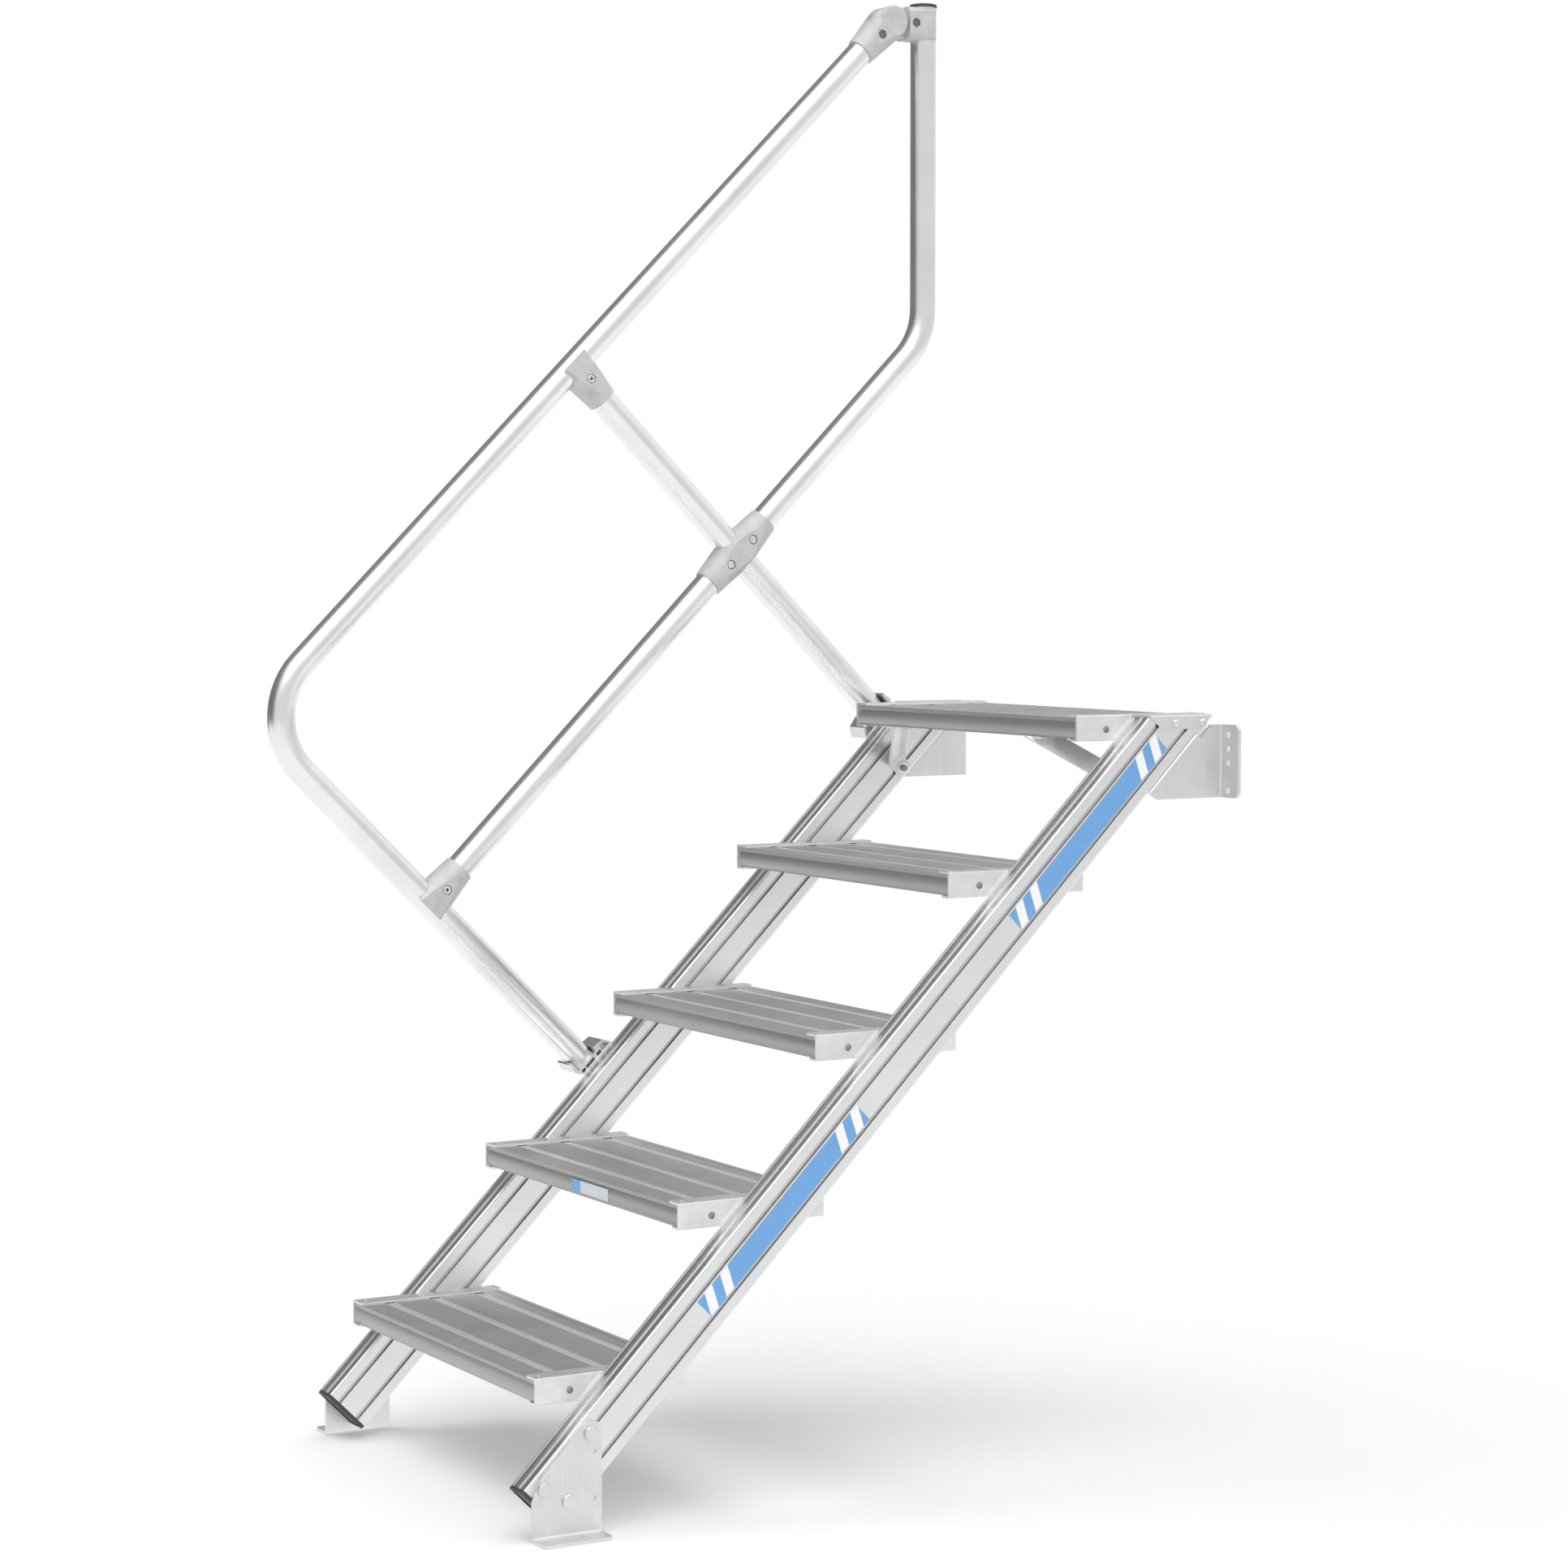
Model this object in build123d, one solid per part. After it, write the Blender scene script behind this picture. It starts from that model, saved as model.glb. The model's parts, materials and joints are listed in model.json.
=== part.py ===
from build123d import *
import math
import os

# All sizes are in millimetres. X runs across the stair, Y in the way one climbs, Z up.
# While the pieces are made, X = 0 is the middle of the treads, Y = 0 the nose of the first
# tread and Z = 0 the ground.

# Steps
rise = 212
going = 212
step_count = 5
first_step_height = 204
clear_width = 600

# Treads: ribbed extruded planks between folded channels
tread_depth = 224
tread_thickness = 30
tread_skin = 3.5
tread_web = 3
tread_foot = 2.5
tread_foot_reach = 9
tread_front_gap = 1
nose_lip = 5
nose_step = 1.6
rib_pitch = 3.2
rib_land = 1.7
rib_depth = 0.9
strip_count = 3
first_strip = 44
strip_pitch = 71
strip_width = 16
strip_drop = 1.1

# Channels at the tread ends
channel_sheet = 3
channel_top_flange = 30
channel_bottom_flange = 22
channel_corner = 6
channel_hole_r = 5
channel_hole_back = 50.5
channel_hole_down = 20

# Stringers: box profiles with bolt grooves in both webs
stringer_width = 40
stringer_depth = 75
stringer_wall = 2.5
stringer_corner = 3.5
nose_overhang = 99
groove_depth = 3.2
groove_mouth = 6.5
groove_width = 9
groove_lip = 1.2
groove_front = 18.5
groove_rear = 56.5
face_recess = 1
face_bead = 5
face_ridge = 9
lower_end_reach = 190
end_cap_plate = 5.5
end_cap_rim = 3
end_cap_sink = 1.5
end_cap_plug = 14
end_cap_plug_wall = 2
plug_clearance = 0.3

# Floor brackets
foot_sheet = 5
foot_flange = 40
foot_front = -26
foot_back = 74
foot_top = 151
foot_shoulder = 60
foot_edge_inset = 3.5
foot_edge_start = 88
foot_corner = 12
foot_bend = 8
foot_slot_count = 4
foot_slot_pitch = 26
foot_slot_width = 9
foot_slot_length = 16
foot_small_hole_r = 3
foot_small_hole_back = 11
foot_small_hole_low = 49
foot_small_hole_high = 111

# Wall brackets
wall_sheet = 5
wall_flange = 45
wall_bend = 8
wall_corner = 10
wall_plane = 1075
wall_bottom = 933
wall_top = 1037
wall_strap_start = 1122
wall_strap_end = 1236
wall_strap_width = 36
wall_relief = 10
wall_toe = 7
wall_hole_r = 4.5
wall_hole_in = 16
wall_hole_module = 20
wall_hole_low = 10
wall_hole_steps = (0, 2, 3, 4)

# Covers over the upper stringer ends
cover_sheet = 3
cover_lip = 20
cover_lead = 3
cover_rear_rake = 11

# Straps under the top tread
brace_sheet = 3
brace_width = 28
brace_station = 1115
brace_angle = 38
brace_tab = 13
brace_foot = 30
brace_edge = 9

# Handrail tubes, bends and heights square to the slope
tube_r = 20
tube_wall = 2
bend_r = 110
top_rail_height = 752.5
knee_rail_height = 362
lower_leg_station = 436.5
cross_brace_station = 1166
post_back = 157.5

# Cast fittings
fit_clearance = 0.2
fitting_half = 24
skirt_reach = 12
skirt_half = 28
skirt_corner = 9
socket_reach = 68
socket_insert = 30
socket_rim = 2.5
socket_taper = 6.3
screw_reach = 27
screw_pocket_r = 7.8
screw_pocket_depth = 2

# Swivel at the top of the post
swivel_reach = 66
ear_r = 24
ear_edge = 2.5
swivel_shoulder = 22
swivel_swell = 1
tongue_thickness = 18
tongue_r = 23.5
tongue_clearance = 0.3
fork_gap = 4
swivel_socket_reach = 70
swivel_screw_reach = 32
collar_height = 50
collar_skirt = 9
collar_gap = 4
collar_round = 31.6
collar_taper = 3.5
post_above_pivot = 27
post_cap_height = 5
post_cap_r = 21.5
post_cap_plug = 18

# Seats for the tube ends, against the left stringer's outer web
seat_half = 22
seat_height = 10
seat_toe = 19
seat_lug = 27
seat_lug_sheet = 3.8
seat_lug_swell = 2.5
seat_lug_bend = 12.5
seat_lobe = 18
seat_tail_bend = 39
seat_tail_top = 14.5
seat_tail = 48
seat_skin = 2
seat_chamber_top = 7
seat_chambers = ((-17, -10), (-8, 11), (17, 26))
seat_plate_sheet = 6
seat_plate_drop = 32

# Worked out from the sizes above
slope = math.degrees(math.atan2(rise, going))
climb_y = math.cos(math.radians(slope))
climb_z = math.sin(math.radians(slope))
half_width = clear_width / 2
stringer_mid = half_width + stringer_width / 2
stringer_out = half_width + stringer_width
rail_x = -(stringer_out + seat_half)
top_level = first_step_height + (step_count - 1) * rise
top_nose = (step_count - 1) * going
post_y = top_nose + post_back
tread_length = clear_width - 2 * channel_sheet
slope_frame = Location((0, nose_overhang, first_step_height), (slope, 0, 0))


def slope_point(station, height):
    """Y and Z of a point given along the slope and square to it, from the stringers' front."""
    y = nose_overhang + station * climb_y - height * climb_z
    z = first_step_height + station * climb_z + height * climb_y
    return y, z


def station_at(y, height):
    """Station on a line that lies square above the slope, where it passes over y."""
    return (y - nose_overhang + height * climb_z) / climb_y


def bar_x(sketch, start, end):
    """A profile drawn in Y and Z, drawn out across the stair."""
    return extrude(Plane.YZ.offset(start) * sketch, amount=end - start)


def bar_y(sketch, start, end):
    """A profile drawn in X and Z, drawn out along Y."""
    return extrude(Plane.XZ.offset(-end) * sketch, amount=end - start)


def block(low, high):
    """A box between two corners."""
    size = [b - a for a, b in zip(low, high)]
    middle = [(a + b) / 2 for a, b in zip(low, high)]
    return Pos(*middle) * Box(*size)


def mirrored(shape):
    """The same piece for the left side."""
    return mirror(shape, about=Plane.YZ)


def tread_profile():
    """Ribbed top, lipped nose and open underside, from the channel's inner corner."""
    back = tread_depth - tread_front_gap
    front = tread_front_gap
    points = [(front, 0)]
    edges = []
    for i in range(strip_count):
        middle = first_strip + i * strip_pitch
        edges.append((middle - strip_width / 2, middle + strip_width / 2))
    starts = [front + tread_web] + [b for a, b in edges]
    ends = [a for a, b in edges] + [back - tread_web]
    for i, (start, end) in enumerate(zip(starts, ends)):
        count = int((end - start) / rib_pitch)
        pitch = (end - start) / count
        for k in range(count):
            groove = start + k * pitch + (pitch - (rib_pitch - rib_land)) / 2
            points.append((groove, 0))
            points.append((groove + (rib_pitch - rib_land) / 2, -rib_depth))
            points.append((groove + rib_pitch - rib_land, 0))
        if i < strip_count:
            points.append((end, 0))
            points.append((end, -strip_drop))
            points.append((edges[i][1], -strip_drop))
            points.append((edges[i][1], 0))
    points.append((back, 0))
    points.append((back, -tread_thickness))
    points.append((front + nose_step, -tread_thickness))
    bottom = (front + nose_step, -tread_thickness + tread_foot)
    points.append(bottom)
    lip = (front + nose_step, -nose_lip - nose_step)
    nose = ThreePointArc(bottom, (front, (bottom[1] + lip[1]) / 2), lip)
    outline = Polyline(*points) + nose + Polyline(lip, (front, -nose_lip), (front, 0))
    profile = make_face(outline)
    bay_count = strip_count
    bay = (back - front - tread_web) / bay_count
    for i in range(bay_count):
        left = front + tread_web + i * bay
        right = left + bay - tread_web
        if i == 0:
            left += nose_step
        deep = tread_thickness - tread_skin - tread_foot - strip_drop
        centre = -tread_skin - strip_drop - deep / 2
        profile -= Pos((left + right) / 2, centre) * Rectangle(right - left, deep)
        mouth = right - left - 2 * tread_foot_reach
        profile -= Pos((left + right) / 2, -tread_thickness) * Rectangle(mouth, 2 * tread_foot)
    return profile


def tread(index):
    """One tread between its two channels."""
    profile = Pos(index * going, tread_top(index)) * tread_profile()
    return bar_x(profile, -tread_length / 2, tread_length / 2)


def tread_top(index):
    """Height of a tread's ribs; the channel's flange lies on them."""
    return first_step_height + index * rise - channel_sheet


def tread_channel(index):
    """Folded channel at the right end of one tread."""
    top = first_step_height + index * rise
    bottom = tread_top(index) - tread_thickness - channel_sheet
    front = index * going
    back = front + tread_depth
    shape = block((half_width - channel_sheet, front, bottom), (half_width, back, top))
    upper = block((half_width - channel_top_flange, front, top - channel_sheet), (half_width, back, top))
    lower = block((half_width - channel_bottom_flange, front, bottom),
                  (half_width, back, bottom + channel_sheet))
    for flange, reach in ((upper, channel_top_flange), (lower, channel_bottom_flange)):
        corners = flange.edges().filter_by(Axis.Z).group_by(Axis.X)[0]
        shape += fillet(corners, channel_corner)
    folds = shape.edges().filter_by(Axis.Y).group_by(Axis.X)[-1]
    shape = fillet(folds, channel_sheet / 2)
    hole = Pos(half_width, front + channel_hole_back, top - channel_hole_down)
    return shape - hole * Rot(0, 90, 0) * Cylinder(channel_hole_r, 4 * channel_sheet)


def stringer_profile():
    """Section in X and depth, with the front face at zero."""
    middle = -stringer_depth / 2
    section = Pos(0, middle) * RectangleRounded(stringer_width, stringer_depth, stringer_corner)
    hollow = Pos(0, middle) * Rectangle(stringer_width - 2 * stringer_wall, stringer_depth - 2 * stringer_wall)
    for side in (-1, 1):
        for depth in (groove_front, groove_rear):
            groove_x = side * (stringer_width - groove_depth) / 2
            section -= Pos(groove_x, -depth) * Rectangle(groove_depth, groove_mouth)
            under = groove_depth - groove_lip
            under_x = side * (stringer_width / 2 - groove_lip - under / 2)
            section -= Pos(under_x, -depth) * Rectangle(under, groove_width)
            pad_x = side * (stringer_width / 2 - stringer_wall - groove_depth / 2)
            hollow -= Pos(pad_x, -depth) * Rectangle(groove_depth, groove_width + 2 * stringer_wall)
    flat = (stringer_width - 2 * face_bead - face_ridge) / 2
    for side in (-1, 1):
        for face in (-face_recess / 2, -stringer_depth + face_recess / 2):
            section -= Pos(side * (face_ridge + flat) / 2, face) * Rectangle(flat, face_recess)
    return section - hollow


def stringer():
    """Right stringer: square cut at the foot, level cut under the cover."""
    top_station = (top_level - first_step_height) / climb_z + stringer_depth
    body = Pos(stringer_mid, 0, 0) * bar_y(stringer_profile(), -lower_end_reach, top_station)
    body = slope_frame * body
    trim = top_level - cover_sheet
    return body - block((0, 0, trim), (clear_width, wall_plane + rise + stringer_depth, trim + rise))


def end_cap():
    """Plastic plate with a hollow plug inside the stringer."""
    plate = RectangleRounded(stringer_width, stringer_depth, stringer_corner)
    low = -lower_end_reach - end_cap_plate
    body = bar_y(Pos(0, -stringer_depth / 2) * plate, low, -lower_end_reach)
    body = chamfer(body.edges().group_by(Axis.Y)[0], 1)
    sunk = Rectangle(stringer_width - 2 * end_cap_rim, stringer_depth - 2 * end_cap_rim)
    body -= bar_y(Pos(0, -stringer_depth / 2) * sunk, low, low + end_cap_sink)
    inset = 2 * (stringer_wall + plug_clearance)
    plug_x = stringer_width - inset - 2 * groove_depth
    plug = Rectangle(plug_x, stringer_depth - inset)
    plug -= Rectangle(plug_x - 2 * end_cap_plug_wall, stringer_depth - inset - 2 * end_cap_plug_wall)
    plug = Pos(0, -stringer_depth / 2) * plug
    body += bar_y(plug, -lower_end_reach, -lower_end_reach + end_cap_plug)
    return slope_frame * (Pos(stringer_mid, 0, 0) * body)


def foot_bracket():
    """Folded floor bracket on the right stringer's outer web."""
    edge = nose_line_height(-foot_edge_inset)
    outline = Polyline(
        (foot_front, 0),
        (foot_front, foot_shoulder),
        (foot_edge_start - edge, foot_edge_start),
        (foot_top - edge, foot_top),
        (foot_back, foot_top),
        (foot_back, 0),
        close=True,
    )
    plate = make_face(outline)
    corners = plate.vertices().sort_by(Axis.Y)[2:]
    plate = fillet(corners, foot_corner)
    out = stringer_out
    shape = bar_x(plate, out, out + foot_sheet)
    shape += block((out, foot_front, 0), (out + foot_flange, foot_back, foot_sheet))
    along = shape.edges().filter_by(Axis.Y)
    heel = along.group_by(Axis.Z)[0].sort_by(Axis.X)[0]
    shape = fillet(heel, foot_bend)
    inner = [e for e in shape.edges().filter_by(Axis.Y)
             if abs(e.center().X - out - foot_sheet) < 0.01 and abs(e.center().Z - foot_sheet) < 0.01]
    shape = fillet(inner, foot_bend - foot_sheet)
    tips = shape.edges().filter_by(Axis.Z).group_by(Axis.X)[-1]
    shape = fillet(tips, foot_corner / 2)
    middle = (foot_front + foot_back) / 2
    slot = SlotOverall(foot_slot_length, foot_slot_width, rotation=90)
    for i in range(foot_slot_count):
        y = middle + (i - (foot_slot_count - 1) / 2) * foot_slot_pitch
        shape -= extrude(Pos(foot_slot_x, y, 0) * slot, amount=2 * foot_sheet)
    for height in (foot_small_hole_low, foot_small_hole_high):
        place = Pos(out, foot_back - foot_small_hole_back, height) * Rot(0, 90, 0)
        shape -= place * Cylinder(foot_small_hole_r, 4 * foot_sheet)
    return shape


def nose_line_height(height):
    """Z less Y on a line that lies square above the slope."""
    y, z = slope_point(0, height)
    return z - y


foot_slot_x = stringer_out + (foot_sheet + foot_flange) / 2


def wall_bracket():
    """Folded bracket under the right stringer's upper end, flat against the wall."""
    out = stringer_out
    rear = -stringer_depth
    edge = rear - wall_relief
    wall_front = wall_plane - wall_sheet
    toe_y, toe_z = slope_point(wall_strap_start, edge)
    top_y = wall_top - nose_line_height(edge)
    web = Polyline(
        slope_point(wall_strap_start, rear),
        slope_point(wall_strap_end, rear),
        slope_point(wall_strap_end, edge),
        (top_y, wall_top),
        (wall_plane, wall_top),
        (wall_plane, wall_bottom),
        (toe_y + wall_toe, wall_bottom),
        (toe_y, toe_z),
        close=True,
    )
    shape = bar_x(make_face(web), out - wall_sheet, out)
    strap = block((out - wall_strap_width, wall_strap_start, rear - wall_sheet),
                  (out, wall_strap_end, rear))
    shape += slope_frame * strap
    shape += block((out - wall_sheet, wall_front, wall_bottom),
                   (out - wall_sheet + wall_flange, wall_plane, wall_top))
    heel = [e for e in shape.edges().filter_by(Axis.Z)
            if abs(e.center().X - out + wall_sheet) < 0.01 and abs(e.center().Y - wall_plane) < 0.01]
    shape = fillet(heel, wall_bend)
    inner = [e for e in shape.edges().filter_by(Axis.Z)
             if abs(e.center().X - out) < 0.01 and abs(e.center().Y - wall_front) < 0.01]
    shape = fillet(inner, wall_bend - wall_sheet)
    tips = shape.edges().filter_by(Axis.Y).group_by(Axis.X)[-1]
    shape = fillet(tips, wall_corner)
    fold_y, fold_z = slope_point((wall_strap_start + wall_strap_end) / 2, rear)
    fold = shape.edges().sort_by_distance((out, fold_y, fold_z))[0]
    shape = fillet(fold, wall_sheet)
    for step in wall_hole_steps:
        height = wall_bottom + wall_hole_low + step * wall_hole_module
        place = Pos(out + wall_hole_in, wall_plane, height) * Rot(90, 0, 0)
        shape -= place * Cylinder(wall_hole_r, 4 * wall_sheet)
    return shape


def cover():
    """Folded cover over the right stringer's level end."""
    out = stringer_out
    front_y = top_level - nose_line_height(0) - cover_lead
    rear_y = top_level - nose_line_height(-stringer_depth)
    plan = Polyline(
        (half_width, front_y),
        (out + cover_sheet, front_y),
        (out + cover_sheet, rear_y),
        (half_width, rear_y + cover_rear_rake),
        close=True,
    )
    leaf = extrude(Pos(0, 0, top_level - cover_sheet) * make_face(plan), amount=cover_sheet)
    drop = cover_lip * going / rise
    lip = Polyline(
        (front_y, top_level),
        (rear_y, top_level),
        (rear_y - drop, top_level - cover_lip),
        (front_y + cover_lip * rise / going, top_level - cover_lip),
        close=True,
    )
    shape = leaf + bar_x(make_face(lip), out, out + cover_sheet)
    fold = shape.edges().filter_by(Axis.Y).group_by(Axis.Z)[-1].sort_by(Axis.X)[-1]
    return fillet(fold, cover_sheet * 0.8)


def tread_brace():
    """Folded strap from the right stringer's inner web up to the underside of the top tread."""
    under = tread_top(step_count - 1) - tread_thickness
    tab_low = -groove_rear - brace_tab
    tab_high = -groove_rear + brace_tab
    lean_x = math.cos(math.radians(brace_angle))
    lean_n = math.sin(math.radians(brace_angle))
    start = brace_station - brace_width / 2
    end = brace_station + brace_width / 2
    y, z = slope_point(brace_station, tab_high)
    length = (under - z) / climb_y / lean_n
    far = length * 1.3
    inner = half_width - brace_sheet
    path = Polyline(
        (half_width, tab_low),
        (half_width, tab_high + brace_sheet),
        (half_width - far * lean_x, tab_high + brace_sheet + far * lean_n),
        (inner - far * lean_x, tab_high + far * lean_n),
        (inner, tab_high),
        (inner, tab_low),
        close=True,
    )
    shape = bar_y(make_face(path), start, end)
    edge = Polyline(
        (inner, tab_high),
        (inner - far * lean_x, tab_high + far * lean_n),
        (inner - far * lean_x - brace_edge * lean_n, tab_high + far * lean_n - brace_edge * lean_x),
        (inner - brace_edge / lean_n, tab_high),
        close=True,
    )
    shape += bar_y(make_face(edge), end - brace_sheet, end)
    shape = slope_frame * shape
    shape -= block((0, 0, under), (clear_width, wall_plane + rise, under + 2 * rise))
    foot_x = half_width - length * lean_x
    foot_y, foot_z = slope_point(brace_station, tab_high + length * lean_n)
    foot = block((foot_x - brace_foot / 2, foot_y - brace_width / 2, under - brace_sheet),
                 (foot_x + brace_foot / 2, foot_y + brace_width / 2, under))
    return shape + foot


def tube(path):
    """A round tube along straight runs joined by tangent bends."""
    start = path @ 0
    ring = Plane(origin=start, z_dir=path % 0) * (Circle(tube_r) - Circle(tube_r - tube_wall))
    return sweep(ring, path=path)


def rail_line(points):
    """Straight runs in the rail's plane, with the same bend radius at each corner."""
    corners = [(rail_x, y, z) for y, z in points]
    if len(corners) == 2:
        return Line(corners[0], corners[1])
    return FilletPolyline(*corners, radius=bend_r)


def handrail_tube():
    """Top rail, lower bend and lower leg in one bent tube."""
    end = pivot_station - swivel_socket_reach + socket_insert
    return tube(rail_line([
        slope_point(lower_leg_station, seat_height),
        slope_point(lower_leg_station, top_rail_height),
        slope_point(end, top_rail_height),
    ]))


def knee_rail_lower():
    """Straight tube between the lower tee and the cross fitting."""
    inside = socket_reach - socket_insert
    return tube(rail_line([
        slope_point(lower_leg_station + inside, knee_rail_height),
        slope_point(cross_brace_station - inside, knee_rail_height),
    ]))


def knee_rail_post():
    """Upper knee rail, bent up into the post."""
    inside = socket_reach - socket_insert
    corner = slope_point(station_at(post_y, knee_rail_height), knee_rail_height)
    return tube(rail_line([
        slope_point(cross_brace_station + inside, knee_rail_height),
        corner,
        (post_y, pivot_z + post_above_pivot),
    ]))


def cross_brace_tube():
    """Straight tube from its seat on the stringer up to the upper tee."""
    inside = socket_reach - socket_insert
    return tube(rail_line([
        slope_point(cross_brace_station, seat_height),
        slope_point(cross_brace_station, top_rail_height - inside),
    ]))


def round_taper(low, high, end_r, taper):
    """Round casting along local Z that narrows by its taper to a radius at the high end."""
    wide = end_r + (high - low) * math.tan(math.radians(taper))
    return Pos(0, 0, (low + high) / 2) * Cone(wide, end_r, high - low)


def socket_form(low, high):
    """Tapered socket whose rim stands one wall wider than the tube."""
    return round_taper(low, high, tube_r + socket_rim, socket_taper)


def cheek_slab(reach):
    """Flat cheeks cut both sides of a casting."""
    return Box(2 * fitting_half, 2 * reach, 2 * reach)


def screw_pockets(reach, turn=0):
    """Hexagonal pockets in both cheeks, with a corner along local Z when not turned."""
    hexagon = RegularPolygon(screw_pocket_r, 6, rotation=turn)
    pocket = extrude(hexagon, amount=screw_pocket_depth)
    right = Pos(fitting_half - screw_pocket_depth, 0, reach) * Rot(0, 90, 0) * pocket
    left = Pos(-fitting_half, 0, reach) * Rot(0, 90, 0) * pocket
    return right, left


def crossing_cut(open_below):
    """Room for the crossing tube, open on the skirt's side of a saddle."""
    bore = tube_r + fit_clearance
    cut = Rot(90, 0, 0) * Cylinder(bore, 4 * skirt_half)
    if open_below:
        cut += block((-bore, -2 * skirt_half, -2 * skirt_reach), (bore, 2 * skirt_half, 0))
    return cut


def socket_bore(reach):
    """Bore for a tube end, along local Z."""
    depth = socket_insert
    return Pos(0, 0, reach - depth / 2) * Cylinder(tube_r + fit_clearance, depth)


def saddle_tee():
    """Tee with its crossing tube along local Y and its socket along local Z."""
    tall = socket_reach + skirt_reach + 2 * skirt_corner
    outline = RectangleRounded(2 * skirt_half, tall, skirt_corner)
    cheeks = bar_x(Pos(0, tall / 2 - skirt_reach) * outline, -fitting_half, fitting_half)
    shape = socket_form(-skirt_reach, socket_reach) & cheeks
    shape -= crossing_cut(True)
    shape -= socket_bore(socket_reach)
    for pocket in screw_pockets(screw_reach):
        shape -= pocket
    return shape


def cross_casting():
    """Fitting with two sockets in line and a crossing tube through its middle."""
    upper = socket_form(0, socket_reach)
    shape = (upper + mirror(upper, about=Plane.XY)) & cheek_slab(2 * socket_reach)
    shape -= crossing_cut(False)
    for turn in (0, 180):
        shape -= Rot(turn, 0, 0) * socket_bore(socket_reach)
        for pocket in screw_pockets(screw_reach):
            shape -= Rot(turn, 0, 0) * pocket
    return shape


def on_rail(station, height, turn):
    """Place for a fitting in the rail's plane, turned about X within the slope's frame."""
    return slope_frame * Pos(rail_x, station, height) * Rot(turn, 0, 0)


def swivel_outline():
    """Side outline of the swivel: round ear, swollen shoulder and narrower rim, in Y and Z."""
    rim = tube_r + socket_rim
    flare = (swivel_socket_reach - swivel_shoulder) * math.tan(math.radians(socket_taper))
    shoulder = rim + flare + swivel_swell
    edges = ShapeList(Circle(ear_r).edges())
    for side in (-1, 1):
        high = (side * shoulder, -swivel_shoulder)
        low = (side * (rim + swivel_swell), -swivel_socket_reach)
        edges.append(Line(high, low).edge())
    return make_hull(edges)


def swivel_socket():
    """Socket on the rail's end with a forked round ear."""
    ear = Cylinder(ear_r, 2 * fitting_half)
    ear = Rot(0, 90, 0) * fillet(ear.edges(), ear_edge)
    socket = Rot(180, 0, 0) * socket_form(0, swivel_socket_reach)
    shape = ear + (socket & bar_x(swivel_outline(), -fitting_half, fitting_half))
    slot = tongue_thickness + 2 * tongue_clearance
    gap = tongue_r + fork_gap
    shape -= block((-slot / 2, -2 * ear_r, -gap), (slot / 2, 2 * ear_r, 2 * ear_r))
    shape -= Rot(180, 0, 0) * socket_bore(swivel_socket_reach)
    for pocket in screw_pockets(-swivel_screw_reach):
        shape -= pocket
    return on_rail(pivot_station, top_rail_height, -90) * shape


def post_collar():
    """Saddle on the post with the tongue that enters the forked ear."""
    end = swivel_reach - ear_r - collar_gap
    body = block((-fitting_half, -collar_height / 2, -collar_skirt),
                 (fitting_half, collar_height / 2, end))
    end_r = collar_round - end * math.tan(math.radians(collar_taper))
    shape = body & round_taper(-collar_skirt, end, end_r, collar_taper)
    shape += block((-tongue_thickness / 2, -tongue_r, 0), (tongue_thickness / 2, tongue_r, swivel_reach))
    shape += Pos(0, 0, swivel_reach) * Rot(0, 90, 0) * Cylinder(tongue_r, tongue_thickness)
    shape -= crossing_cut(True)
    for pocket in screw_pockets(screw_reach, 30):
        shape -= pocket
    return Pos(rail_x, post_y, pivot_z) * Rot(90, 0, 0) * shape


def post_cap():
    """Black plug in the top of the post."""
    top = pivot_z + post_above_pivot
    cap = Pos(0, 0, post_cap_height / 2) * Cylinder(post_cap_r, post_cap_height)
    cap = fillet(cap.edges().group_by(Axis.Z)[-1], post_cap_height / 3)
    plug_r = tube_r - tube_wall - fit_clearance
    cap += Pos(0, 0, -post_cap_plug / 2) * Cylinder(plug_r, post_cap_plug)
    cap -= Pos(0, 0, -post_cap_plug / 2) * Cylinder(plug_r - tube_wall, post_cap_plug)
    return Pos(rail_x, post_y, top) * cap


def tube_seat(station, tail):
    """Chambered seat on the outer web of the left stringer; tail is 1 up the slope, -1 down."""
    inner = tube_r + fit_clearance
    lug = inner + seat_lug_sheet
    profile = make_face(Polyline(
        (-seat_toe, 0),
        (-lug - seat_lug_swell, seat_lug_bend),
        (-lug, seat_lug),
        (-inner, seat_lug),
        (-inner, seat_height),
        (inner, seat_height),
        (inner, seat_lobe),
        (seat_tail_bend, seat_tail_top),
        (seat_tail, 0),
        close=True,
    ))
    for start, end in seat_chambers:
        tall = seat_chamber_top - seat_skin
        middle = ((start + end) / 2, (seat_chamber_top + seat_skin) / 2)
        profile -= Pos(*middle) * Rectangle(end - start, tall)
    start = seat_chambers[-1][1] + seat_skin
    profile -= make_face(Polyline(
        (start, seat_skin),
        (start, seat_tail_top - seat_skin),
        (seat_tail_bend - seat_skin, seat_tail_top - 1.5 * seat_skin),
        (seat_tail - 2 * seat_skin, seat_skin),
        close=True,
    ))
    plate = Polyline(
        (-seat_toe, 0),
        (seat_tail, 0),
        (seat_tail, -seat_plate_drop),
        (-seat_toe, -seat_plate_drop),
        close=True,
    )
    plate = make_face(plate)
    plate = fillet(plate.vertices().group_by(Axis.Y)[0], seat_plate_sheet)
    if tail < 0:
        profile = mirror(profile, about=Plane.YZ)
        plate = mirror(plate, about=Plane.YZ)
    shape = bar_x(profile, -seat_half, seat_half)
    shape += bar_x(plate, seat_half - seat_plate_sheet, seat_half)
    return slope_frame * (Pos(rail_x, station, 0) * shape)


pivot_station = station_at(post_y - swivel_reach, top_rail_height)
pivot_z = slope_point(pivot_station, top_rail_height)[1]

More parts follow.
